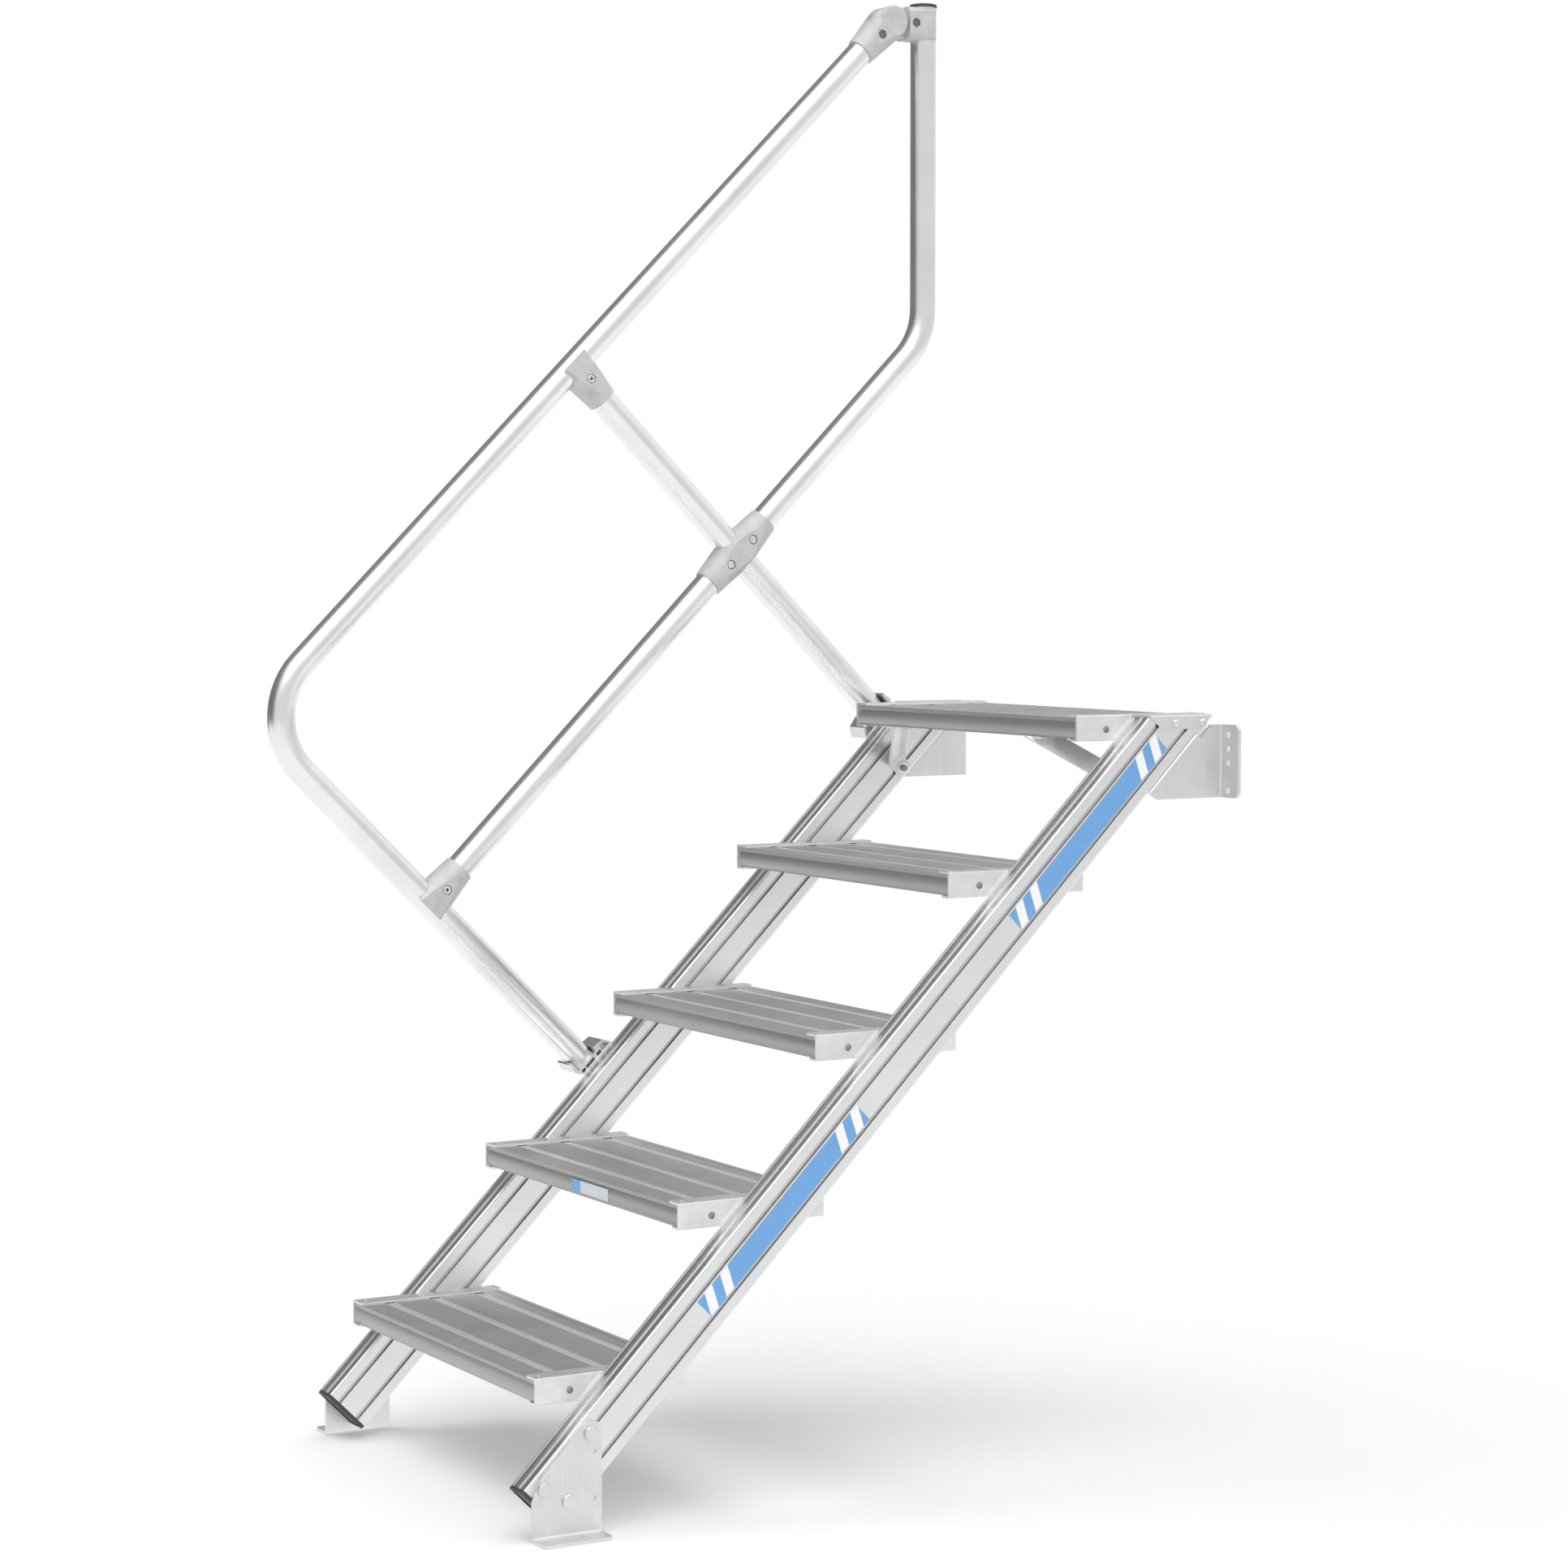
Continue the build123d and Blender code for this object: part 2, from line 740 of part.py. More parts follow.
# The pieces, by node name
pieces = {}
for name, right in (
    ("stringer", stringer()),
    ("end_cap", end_cap()),
    ("foot_bracket", foot_bracket()),
    ("wall_bracket", wall_bracket()),
    ("top_plate", cover()),
    ("tread_brace", tread_brace()),
):
    pieces[name + "_right"] = right
    pieces[name + "_left"] = mirrored(right)
for index in range(step_count):
    label = str(index + 1)
    pieces["tread_" + label] = tread(index)
    pieces["tread_bracket_right_" + label] = tread_channel(index)
    pieces["tread_bracket_left_" + label] = mirrored(tread_channel(index))
pieces["handrail_tube"] = handrail_tube()
pieces["knee_rail_lower"] = knee_rail_lower()
pieces["knee_rail_post"] = knee_rail_post()
pieces["cross_brace_tube"] = cross_brace_tube()
pieces["lower_tee"] = on_rail(lower_leg_station, knee_rail_height, -90) * saddle_tee()
pieces["upper_tee"] = on_rail(cross_brace_station, top_rail_height, 180) * saddle_tee()
pieces["cross_fitting"] = on_rail(cross_brace_station, knee_rail_height, -90) * cross_casting()
pieces["swivel_socket"] = swivel_socket()
pieces["post_collar"] = post_collar()
pieces["post_cap"] = post_cap()
pieces["rail_bracket_lower"] = tube_seat(lower_leg_station, 1)
pieces["rail_bracket_upper"] = tube_seat(cross_brace_station, -1)

# The origin is the middle of the right floor flange's underside
origin_x = stringer_out + foot_flange / 2
origin_y = (foot_front + foot_back) / 2
to_origin = Location((-origin_x, -origin_y, 0))

os.makedirs("parts", exist_ok=True)
for node, shape in pieces.items():
    export_step(to_origin * shape, "parts/" + node + ".step")
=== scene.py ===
import json
import math

import bpy
import numpy as np
from mathutils import Matrix, Vector


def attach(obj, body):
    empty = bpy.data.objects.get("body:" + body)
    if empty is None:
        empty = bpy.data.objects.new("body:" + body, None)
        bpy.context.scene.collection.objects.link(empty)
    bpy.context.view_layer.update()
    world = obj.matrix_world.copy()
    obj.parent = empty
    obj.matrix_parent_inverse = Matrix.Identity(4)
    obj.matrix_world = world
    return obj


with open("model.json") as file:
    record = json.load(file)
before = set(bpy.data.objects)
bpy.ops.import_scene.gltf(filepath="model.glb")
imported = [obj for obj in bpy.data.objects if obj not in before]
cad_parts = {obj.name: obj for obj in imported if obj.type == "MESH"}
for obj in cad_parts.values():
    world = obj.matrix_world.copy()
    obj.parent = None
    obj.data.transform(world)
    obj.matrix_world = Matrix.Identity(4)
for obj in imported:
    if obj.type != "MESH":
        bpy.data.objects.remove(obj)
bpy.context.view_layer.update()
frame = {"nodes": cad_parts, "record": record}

print("frame loaded:", len(frame["nodes"]), "nodes")

# Everything is worked out in millimetres from the middle of the first tread's nose at ground
# level, as in the part's source, and moved to the row frame by toFrame.
stair = {
    "originX": 360.0, "originY": 24.0,
    "rise": 212.0, "going": 212.0, "steps": 5, "firstStep": 204.0,
    "halfWidth": 300.0, "stringerWidth": 40.0,
    "noseOverhang": 99.0, "slope": math.radians(45.0),
    "railHeight": 752.5, "kneeHeight": 362.0, "legStation": 436.5, "braceStation": 1166.0,
    "railX": -362.0, "postY": 1005.5, "pivotY": 939.5, "fittingHalf": 24.0,
}
upSlope = np.array([0.0, math.cos(stair["slope"]), math.sin(stair["slope"])])
intoDepth = np.array([0.0, math.sin(stair["slope"]), -math.cos(stair["slope"])])
outerFace = stair["halfWidth"] + stair["stringerWidth"]
white = (1.0, 1.0, 1.0, 1.0)


def toFrame(points):
    # millimetres less the shift to the row frame's origin, over a thousand
    shift = [stair["originX"], stair["originY"], 0.0]
    return (np.asarray(points, float) - shift) / 1000.0


def slopePoint(station, height):
    # a step along the slope plus a step square to it, from the front corner of the stringer
    c, s = math.cos(stair["slope"]), math.sin(stair["slope"])
    return (stair["noseOverhang"] + station * c - height * s,
            stair["firstStep"] + station * s + height * c)


def newPiece(name, points, faces, material, slot, smooth=True, uv=None):
    # a mesh from points in millimetres, riding on the stair's one body
    mesh = bpy.data.meshes.new(name)
    mesh.from_pydata(toFrame(points).tolist(), [], [list(map(int, f)) for f in faces])
    mesh.polygons.foreach_set("use_smooth", np.full(len(mesh.polygons), smooth))
    if uv is not None:
        layer = mesh.uv_layers.new(name="label")
        corners = np.zeros(len(mesh.loops), np.int32)
        mesh.loops.foreach_get("vertex_index", corners)
        layer.data.foreach_set("uv", np.asarray(uv, np.float32)[corners].ravel())
    mesh.materials.append(material)
    mesh.update()
    piece = bpy.data.objects.new(name, mesh)
    bpy.context.scene.collection.objects.link(piece)
    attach(piece, "root")
    return piece


def gridFaces(rows, columns, closed):
    # quads between neighbouring rows, and round each row when it is closed
    r = np.arange(rows - 1)[:, None]
    c = np.arange(columns if closed else columns - 1)[None, :]
    a = r * columns + c
    b = r * columns + (c + 1) % columns
    return np.stack([a, b, b + columns, a + columns], -1).reshape(-1, 4)


def turnedForm(profile, centre, axis, segments, corner=upSlope):
    # a profile of (radius, height, share of hexagon) turned round a unit axis: the radius at an
    # angle is the round one times the hexagon's own, by that share; the hexagon has a corner on
    # the side that the last argument names, and both ends close on a pole
    centre, axis = np.asarray(centre, float), np.asarray(axis, float)
    side = np.asarray(corner, float)
    side = side - axis * (side @ axis)
    side /= np.linalg.norm(side)
    other = np.cross(axis, side)
    angle = np.arange(segments) * 2 * math.pi / segments
    # a flat's middle is nearest, by the cosine of 30 degrees over that of the angle from it, and
    # half a flat's turn puts a corner on the side
    sector = (angle + math.pi / 6) % (math.pi / 3) - math.pi / 6
    hexagon = np.roll(math.cos(math.pi / 6) / np.cos(sector), segments // 12)
    profile = np.asarray(profile, float)
    rings = profile[1:-1]
    radius = rings[:, 0:1] * (1 - rings[:, 2:3] + rings[:, 2:3] * hexagon[None, :])
    spokes = np.cos(angle)[:, None] * side + np.sin(angle)[:, None] * other
    body = centre + radius[:, :, None] * spokes + rings[:, 1][:, None, None] * axis
    first = centre + profile[0, 1] * axis
    last = centre + profile[-1, 1] * axis
    points = np.vstack([first[None], body.reshape(-1, 3), last[None]])
    turn = np.arange(segments)
    after = (turn + 1) % segments
    start = np.stack([np.zeros(segments, int), after + 1, turn + 1], -1)
    end = 1 + (len(rings) - 1) * segments
    close = np.stack([np.full(segments, len(points) - 1), turn + end, after + end], -1)
    return points, [*start, *(gridFaces(len(rings), segments, True) + 1), *close]


def joinForms(forms):
    # several closed forms in one mesh: each one's faces count on from the points before it
    points, faces, shift = [], [], 0
    for formPoints, formFaces in forms:
        points.append(formPoints)
        faces += [np.asarray(f) + shift for f in formFaces]
        shift += len(formPoints)
    return np.vstack(points), faces


def linear(red, green, blue):
    # screen values from 0 to 255 turned into light values by the usual screen curve
    values = np.array([red, green, blue], float) / 255.0
    out = np.where(values <= 0.04045, values / 12.92, ((values + 0.055) / 1.055) ** 2.4)
    return (*out.tolist(), 1.0)


def newMaterial(name):
    # an empty node material and its tree
    material = bpy.data.materials.new(name)
    material.use_nodes = True
    material.node_tree.nodes.clear()
    return material, material.node_tree


def fillInputs(tree, node, values):
    # an input gets a link where its value is another node's output, and else the plain value
    for key, value in values.items():
        if isinstance(value, bpy.types.NodeSocket):
            tree.links.new(value, node.inputs[key])
        else:
            node.inputs[key].default_value = value


def newNode(tree, kind, values=None):
    # a shader node of one kind with its inputs filled
    node = tree.nodes.new("ShaderNode" + kind)
    fillInputs(tree, node, values or {})
    return node


# noise mostly lies between these two values
noiseUse = {"roughness": 0.55, "edges": (0.3, 0.7)}


def noiseNode(tree, place, settings):
    # noise over coordinates that are turned and stretched first
    mapping = newNode(tree, "Mapping", {
        "Vector": place, "Rotation": settings["turn"], "Scale": settings["stretch"],
    })
    noise = newNode(tree, "TexNoise", {
        "Vector": mapping.outputs["Vector"], "Scale": settings["scale"],
        "Detail": settings["detail"], "Roughness": noiseUse["roughness"],
    })
    return noise.outputs["Fac"]


def rampNode(tree, source, dark, light):
    # the dark colour up to the noise's low edge, the light one from its high edge on
    ramp = newNode(tree, "ValToRGB", {"Fac": source})
    for element, edge, colour in zip(ramp.color_ramp.elements, noiseUse["edges"], (dark, light)):
        element.position = edge
        element.color = colour
    return ramp.outputs["Color"]


def rangeNode(tree, source, edges, low=0.0, high=1.0, curve="SMOOTHSTEP"):
    # from low at the first edge to high at the second, and level beyond them
    spread = newNode(tree, "MapRange", {
        "Value": source, "From Min": edges[0], "From Max": edges[1],
        "To Min": low, "To Max": high,
    })
    spread.interpolation_type = curve
    return spread.outputs["Result"]


def mathNode(tree, operation, *values):
    # one operation on numbers or other nodes' outputs, in their order
    node = tree.nodes.new("ShaderNodeMath")
    node.operation = operation
    fillInputs(tree, node, dict(enumerate(values)))
    return node.outputs[0]


def bandMask(tree, source, low, high):
    # one inside the band, nothing outside
    above = mathNode(tree, "GREATER_THAN", source, low)
    below = mathNode(tree, "LESS_THAN", source, high)
    return mathNode(tree, "MULTIPLY", above, below)


def toneMix(tree, mask, colour, tone):
    # the colour where the mask is nothing, the tone where it is one
    mix = tree.nodes.new("ShaderNodeMix")
    mix.data_type = "RGBA"
    fillInputs(tree, mix, {"Factor": mask, "A": colour, "B": tone})
    return mix.outputs["Result"]


# The marks are in metres. On the stringers: depths below the front, and distances to both sides
# of a stringer's middle.
stringerMarks = {
    "depthShift": (stair["originY"] - stair["noseOverhang"] + stair["firstStep"]) / 1000.0,
    "middleShift": stair["originX"] / 1000.0,
    "stringerMiddle": (stair["halfWidth"] + stair["stringerWidth"] / 2) / 1000.0,
    "front": (-0.002, 0.0016), "recess": (0.0046, 0.0148), "ridge": (-0.001, 0.0044),
    # the darker recess and groove tones are painted shade in the sunk strips and grooves, and the
    # lighter ridge tone is a painted highlight on the bead
    "recessShadeTone": linear(204, 204, 205), "ridgeHighlightTone": linear(250, 250, 251),
    "beadHeight": 0.0013,
    "grooveAcross": (0.0160, 0.0190), "grooves": (0.0185, 0.0565), "grooveHalf": 0.0050,
    "grooveShadeTone": linear(204, 204, 206),
}
# On the treads: places in one step back and up, where every tread's top is highAdd up in it.
treadMarks = {
    "step": stair["going"] / 1000.0, "backShift": stair["originY"] / 1000.0, "highAdd": 0.014,
    "highShift": (4 * stair["rise"] - stair["firstStep"]) / 1000.0, "level": (0.0094, 0.0104),
    # the light strip tone is a painted highlight on the plain strips, the dark under tone painted
    # shade where they run on under the brackets, and the front tone painted shade on the treads'
    # fronts
    "strips": (0.044, 0.115, 0.186), "half": 0.0081, "treadPaintedLight": linear(252, 251, 252),
    "front": (0.0, 0.0036), "frontShadeTone": linear(196, 195, 194),
    "middleShift": stair["originX"] / 1000.0, "flangeStart": 0.2695,
    "underShadeTone": linear(44, 43, 43),
}


def stringerPlace(tree, place, settings):
    # depth is back less up plus a shift, over the root of two; the distance is the one across
    # from the stair's middle less that of a stringer's middle, without its sign
    split = newNode(tree, "SeparateXYZ", {"Vector": place})
    depth = mathNode(tree, "SUBTRACT", split.outputs["Y"], split.outputs["Z"])
    depth = mathNode(tree, "ADD", depth, settings["depthShift"])
    depth = mathNode(tree, "MULTIPLY", depth, math.sqrt(0.5))
    across = mathNode(tree, "ADD", split.outputs["X"], settings["middleShift"])
    across = mathNode(tree, "ABSOLUTE", across)
    across = mathNode(tree, "SUBTRACT", across, settings["stringerMiddle"])
    return depth, mathNode(tree, "ABSOLUTE", across)


def ridgeHeight(tree, place, settings):
    # the bead's height falls from its middle with the square of the distance
    depth, across = stringerPlace(tree, place, settings)
    share = mathNode(tree, "DIVIDE", across, settings["ridge"][1])
    share = mathNode(tree, "MULTIPLY", share, share)
    share = mathNode(tree, "SUBTRACT", 1.0, share)
    share = mathNode(tree, "MAXIMUM", share, 0.0)
    share = mathNode(tree, "MULTIPLY", share, bandMask(tree, depth, *settings["front"]))
    return mathNode(tree, "MULTIPLY", share, settings["beadHeight"])


def stringerPaintedLight(tree, place, colour, settings):
    # the sunk strips of the front face and the grooves in the webs get darker tones, painted
    # shade, and the ridge a lighter one, a painted highlight
    depth, across = stringerPlace(tree, place, settings)
    front = bandMask(tree, depth, *settings["front"])
    for strip, tone in (("recess", "recessShadeTone"), ("ridge", "ridgeHighlightTone")):
        mask = mathNode(tree, "MULTIPLY", front, bandMask(tree, across, *settings[strip]))
        colour = toneMix(tree, mask, colour, settings[tone])
    inside = bandMask(tree, across, *settings["grooveAcross"])
    half = settings["grooveHalf"]
    for middle in settings["grooves"]:
        mask = bandMask(tree, depth, middle - half, middle + half)
        mask = mathNode(tree, "MULTIPLY", mask, inside)
        colour = toneMix(tree, mask, colour, settings["grooveShadeTone"])
    return colour


def treadPaintedLight(tree, place, colour, settings):
    # the plain strips between the ribs repeat with every step, both back and up, and get a painted
    # highlight, and painted shade where they run on under the brackets
    split = newNode(tree, "SeparateXYZ", {"Vector": place})
    back = mathNode(tree, "ADD", split.outputs["Y"], settings["backShift"])
    back = mathNode(tree, "MODULO", back, settings["step"])
    high = mathNode(tree, "ADD", split.outputs["Z"], settings["highShift"] + settings["highAdd"])
    high = mathNode(tree, "MODULO", high, settings["step"])
    level = bandMask(tree, high, *settings["level"])
    across = mathNode(tree, "ADD", split.outputs["X"], settings["middleShift"])
    across = mathNode(tree, "ABSOLUTE", across)
    under = mathNode(tree, "GREATER_THAN", across, settings["flangeStart"])
    half = settings["half"]
    for middle in settings["strips"]:
        mask = bandMask(tree, back, middle - half, middle + half)
        mask = mathNode(tree, "MULTIPLY", mask, level)
        colour = toneMix(tree, mask, colour, settings["treadPaintedLight"])
        mask = mathNode(tree, "MULTIPLY", mask, under)
        colour = toneMix(tree, mask, colour, settings["underShadeTone"])
    # painted shade on the treads' fronts
    front = bandMask(tree, back, *settings["front"])
    return toneMix(tree, front, colour, settings["frontShadeTone"])


def metalFinish(name, settings):
    # drawn lines along the piece change the tone and the gloss, a fine grain changes the relief;
    # tone is a weighted mean of lines and clouds, gloss and relief are the mean of lines and grain
    material, tree = newMaterial(name)
    place = newNode(tree, "TexCoord").outputs["Object"]
    lines = noiseNode(tree, place, settings["lines"])
    grain = noiseNode(tree, place, settings["grain"])
    clouds = noiseNode(tree, place, settings["clouds"])
    share = settings["linesShare"]
    tone = mathNode(tree, "MULTIPLY_ADD", lines, share,
                    mathNode(tree, "MULTIPLY", clouds, 1 - share))
    colour = rampNode(tree, tone, settings["dark"], settings["light"])
    # the marks paint shade and highlights into the colour
    if "marks" in settings:
        colour = settings["marks"](tree, place, colour, settings["markSizes"])
    gloss = mathNode(tree, "MULTIPLY_ADD", grain, 0.5, mathNode(tree, "MULTIPLY", lines, 0.5))
    relief = newNode(tree, "Bump", {
        "Strength": settings["bump"], "Distance": settings["bumpDepth"], "Height": gloss,
    })
    if "beads" in settings:
        relief = newNode(tree, "Bump", {
            "Strength": 1.0, "Distance": 1.0, "Normal": relief.outputs["Normal"],
            "Height": ridgeHeight(tree, place, settings["markSizes"]),
        })
    shader = newNode(tree, "BsdfPrincipled", {
        "Metallic": settings["metallic"], "Base Color": colour,
        "Roughness": rangeNode(tree, gloss, noiseUse["edges"], *settings["rough"], "LINEAR"),
        "Normal": relief.outputs["Normal"],
    })
    newNode(tree, "OutputMaterial", {"Surface": shader.outputs["BSDF"]})
    return material


slopeTurn = (-stair["slope"], 0.0, 0.0)
noTurn = (0.0, 0.0, 0.0)
evenScale = (1.0, 1.0, 1.0)


def even(scale, detail):
    # noise that is alike in every direction
    return {"turn": noTurn, "stretch": evenScale, "scale": scale, "detail": detail}


def drawn(stretch, detail, turn=noTurn):
    # noise drawn out along the axis with the smallest number
    return {"turn": turn, "stretch": stretch, "scale": 1.0, "detail": detail}


boltNoise = {"lines": even(220.0, 2.0), "grain": even(1500.0, 2.0), "clouds": even(60.0, 3.0)}
finishes = {
    "profile": {
        "metallic": 1.0, "dark": linear(229, 230, 230), "light": linear(247, 248, 248),
        "rough": (0.30, 0.46), "bump": 0.16, "bumpDepth": 0.0004, "linesShare": 0.6,
        "lines": drawn((900.0, 9.0, 900.0), 3.0, slopeTurn),
        "grain": even(1100.0, 2.0), "clouds": even(9.0, 3.0),
        "marks": stringerPaintedLight, "markSizes": stringerMarks, "beads": True,
    },
    "tread": {
        "metallic": 1.0, "dark": linear(209, 208, 207), "light": linear(234, 233, 232),
        "rough": (0.40, 0.58), "bump": 0.25, "bumpDepth": 0.0005, "linesShare": 0.5,
        "lines": drawn((9.0, 900.0, 900.0), 3.0),
        "grain": even(900.0, 2.0), "clouds": even(12.0, 3.0),
        "marks": treadPaintedLight, "markSizes": treadMarks,
    },
    "sheet": {
        "metallic": 1.0, "dark": linear(230, 230, 230), "light": linear(251, 251, 251),
        "rough": (0.30, 0.50), "bump": 0.22, "bumpDepth": 0.0004, "linesShare": 0.3,
        "lines": drawn((500.0, 12.0, 500.0), 2.0),
        "grain": even(800.0, 2.0), "clouds": even(25.0, 4.0),
    },
    # painted light: a less metallic copy of the sheet finish, so that the straps that face down
    # look lighter
    "litSheet": {
        "metallic": 0.35, "dark": linear(226, 226, 226), "light": linear(246, 246, 246),
        "rough": (0.34, 0.50), "bump": 0.2, "bumpDepth": 0.0004, "linesShare": 0.3,
        "lines": drawn((12.0, 500.0, 500.0), 2.0),
        "grain": even(800.0, 2.0), "clouds": even(25.0, 4.0),
    },
    "plate": {
        "metallic": 1.0, "dark": linear(224, 224, 225), "light": linear(242, 242, 243),
        "rough": (0.38, 0.52), "bump": 0.12, "bumpDepth": 0.0003, "linesShare": 0.5,
        "lines": drawn((500.0, 500.0, 14.0), 2.0),
        "grain": even(900.0, 2.0), "clouds": even(20.0, 3.0),
    },
    "tube": {
        "metallic": 1.0, "dark": linear(238, 239, 240), "light": linear(250, 251, 252),
        "rough": (0.20, 0.30), "bump": 0.03, "bumpDepth": 0.0002, "linesShare": 0.1,
        "lines": drawn((700.0, 12.0, 12.0), 2.0, slopeTurn),
        "grain": even(700.0, 2.0), "clouds": even(10.0, 3.0),
    },
    "casting": {
        "metallic": 0.6, "dark": linear(206, 205, 206), "light": linear(224, 223, 224),
        "rough": (0.62, 0.78), "bump": 0.2, "bumpDepth": 0.0005, "linesShare": 0.1,
        "lines": even(160.0, 3.0), "grain": even(1300.0, 3.0), "clouds": even(40.0, 3.0),
    },
    "bolt": {
        "metallic": 1.0, "dark": linear(222, 223, 224), "light": linear(244, 245, 246),
        "rough": (0.28, 0.42), "bump": 0.1, "bumpDepth": 0.0003, "linesShare": 0.1,
        **boltNoise,
    },
    # dark for the plugs, and painted shade for the rims round the nuts and the discs in the nuts'
    # holes
    "darkBoltAndShade": {
        "metallic": 0.8, "dark": linear(110, 110, 112), "light": linear(134, 134, 136),
        "rough": (0.45, 0.60), "bump": 0.15, "bumpDepth": 0.0003, "linesShare": 0.1,
        **boltNoise,
    },
    # grey for the brace's bolt end, and for the treads' ends in painted shade behind the channels'
    # holes
    "boltEndAndHoleShade": {
        "metallic": 0.6, "dark": linear(150, 150, 151), "light": linear(172, 172, 173),
        "rough": (0.55, 0.70), "bump": 0.12, "bumpDepth": 0.0003, "linesShare": 0.1,
        **boltNoise,
    },
    "plastic": {
        "metallic": 0.0, "dark": linear(62, 60, 59), "light": linear(80, 77, 75),
        "rough": (0.42, 0.58), "bump": 0.15, "bumpDepth": 0.0003, "linesShare": 0.1,
        "lines": even(150.0, 2.0), "grain": even(1800.0, 2.0), "clouds": even(50.0, 3.0),
    },
}
materials = {key: metalFinish(key + "Finish", value) for key, value in finishes.items()}

# Every CAD node keeps its mesh and gets the finish of its slot, and the straps under the top
# tread, which face down, a lit copy of the sheet finish, less metallic so that they look lighter.
litStrapNodes = {"tread_brace_left": "litSheet", "tread_brace_right": "litSheet"}
for row in frame["record"]["subparts"]:
    node = frame["nodes"][row["node"]]
    node.data.materials.clear()
    node.data.materials.append(materials[litStrapNodes.get(row["node"], row["material_slot"])])
print("finishes set")


# The stringer's films are blue with slanted white stripes near both ends. The sums are back plus
# up where a film starts.
label = {
    "length": 346.0, "depthFront": 24.0, "depthRear": 53.5, "thick": 0.25, "lift": 0.05,
    "sumLower": 509.0, "sumUpper": 1490.0, "slant": 0.5,
    "stripes": ((15.0, 31.0), (48.0, 64.0), (299.0, 315.0), (332.0, 348.0)),
    "blue": linear(112, 170, 226), "white": linear(246, 247, 248),
}
# The film on the second tread's front is pale with a blue panel at its left end.
treadLabel = {
    "left": -17.0, "right": 94.0, "low": 387.5, "high": 404.5, "thick": 0.25, "lift": 1.0,
    "panel": (-1.0, 26.0), "ground": linear(214, 222, 232),
}
film = {"rough": (0.30, 0.40), "darker": 0.93, "wear": even(60.0, 4.0), "rows": 5, "columns": 40}


def filmFinish(name, ground, bandColour, bands, slant):
    # the piece's own map gives metres along and across; a band shows where along plus slant
    # times across falls inside it
    material, tree = newMaterial(name)
    uv = newNode(tree, "UVMap")
    uv.uv_map = "label"
    split = newNode(tree, "SeparateXYZ", {"Vector": uv.outputs["UV"]})
    along = mathNode(tree, "MULTIPLY_ADD", split.outputs["Y"], slant, split.outputs["X"])
    total = 0.0
    for low, high in bands:
        total = mathNode(tree, "ADD", total, bandMask(tree, along, low / 1000.0, high / 1000.0))
    place = newNode(tree, "TexCoord").outputs["Object"]
    wear = noiseNode(tree, place, film["wear"])
    darker = (*(film["darker"] * v for v in ground[:3]), 1.0)
    shader = newNode(tree, "BsdfPrincipled", {
        "Base Color": toneMix(tree, total, rampNode(tree, wear, darker, ground), bandColour),
        "Roughness": rangeNode(tree, wear, noiseUse["edges"], *film["rough"], "LINEAR"),
    })
    newNode(tree, "OutputMaterial", {"Surface": shader.outputs["BSDF"]})
    return material


def filmPlate(name, corner, alongVector, acrossVector, outVector, sizes, material, slot):
    # a thin closed slab: corner plus shares of the two edges, in two layers, with walls between
    # the layers' rims
    length, width, thick = sizes
    columns, rows = film["columns"], film["rows"]
    a, b = np.meshgrid(np.linspace(0, 1, columns), np.linspace(0, 1, rows))
    bottom = (np.asarray(corner) + (a * length)[..., None] * np.asarray(alongVector)
              + (b * width)[..., None] * np.asarray(acrossVector)).reshape(-1, 3)
    top = bottom + np.asarray(outVector) * thick
    uv = np.stack([a * length, b * width], -1).reshape(-1, 2) / 1000.0
    quads = gridFaces(rows, columns, False)
    count = rows * columns
    rim = np.concatenate([np.arange(columns), np.arange(1, rows) * columns + columns - 1,
                          (rows - 1) * columns + np.arange(columns - 2, -1, -1),
                          np.arange(rows - 2, 0, -1) * columns])
    nextRim = np.roll(rim, -1)
    walls = np.stack([rim, nextRim, nextRim + count, rim + count], -1)
    faces = [*(quads + count), *quads[:, ::-1], *walls]
    if np.cross(alongVector, acrossVector) @ np.asarray(outVector) < 0:
        faces = [f[::-1] for f in faces]
    return newPiece(name, np.vstack([bottom, top]), faces, material, slot, smooth=False,
                    uv=np.vstack([uv, uv]))


stripedFilm = filmFinish("stripedFilm", label["blue"], label["white"], label["stripes"],
                         label["slant"])
panelFilm = filmFinish("panelFilm", treadLabel["ground"], label["blue"], (treadLabel["panel"],),
                       0.0)
# up less back is the same all along a film's front edge
difference = stair["firstStep"] - stair["noseOverhang"] - label["depthFront"] * math.sqrt(2)
sizes = (label["length"], label["depthRear"] - label["depthFront"], label["thick"])
for name, total in (("label_lower", label["sumLower"]), ("label_upper", label["sumUpper"])):
    corner = (outerFace + label["lift"], (total - difference) / 2, (total + difference) / 2)
    filmPlate(name, corner, upSlope, intoDepth, (1.0, 0.0, 0.0), sizes, stripedFilm, "profile")
corner = (treadLabel["left"], stair["going"] + treadLabel["lift"], treadLabel["low"])
sizes = (treadLabel["right"] - treadLabel["left"], treadLabel["high"] - treadLabel["low"],
         treadLabel["thick"])
filmPlate("label_tread", corner, (1.0, 0.0, 0.0), (0.0, 0.0, 1.0), (0.0, -1.0, 0.0), sizes,
          panelFilm, "tread")
print("labels made")


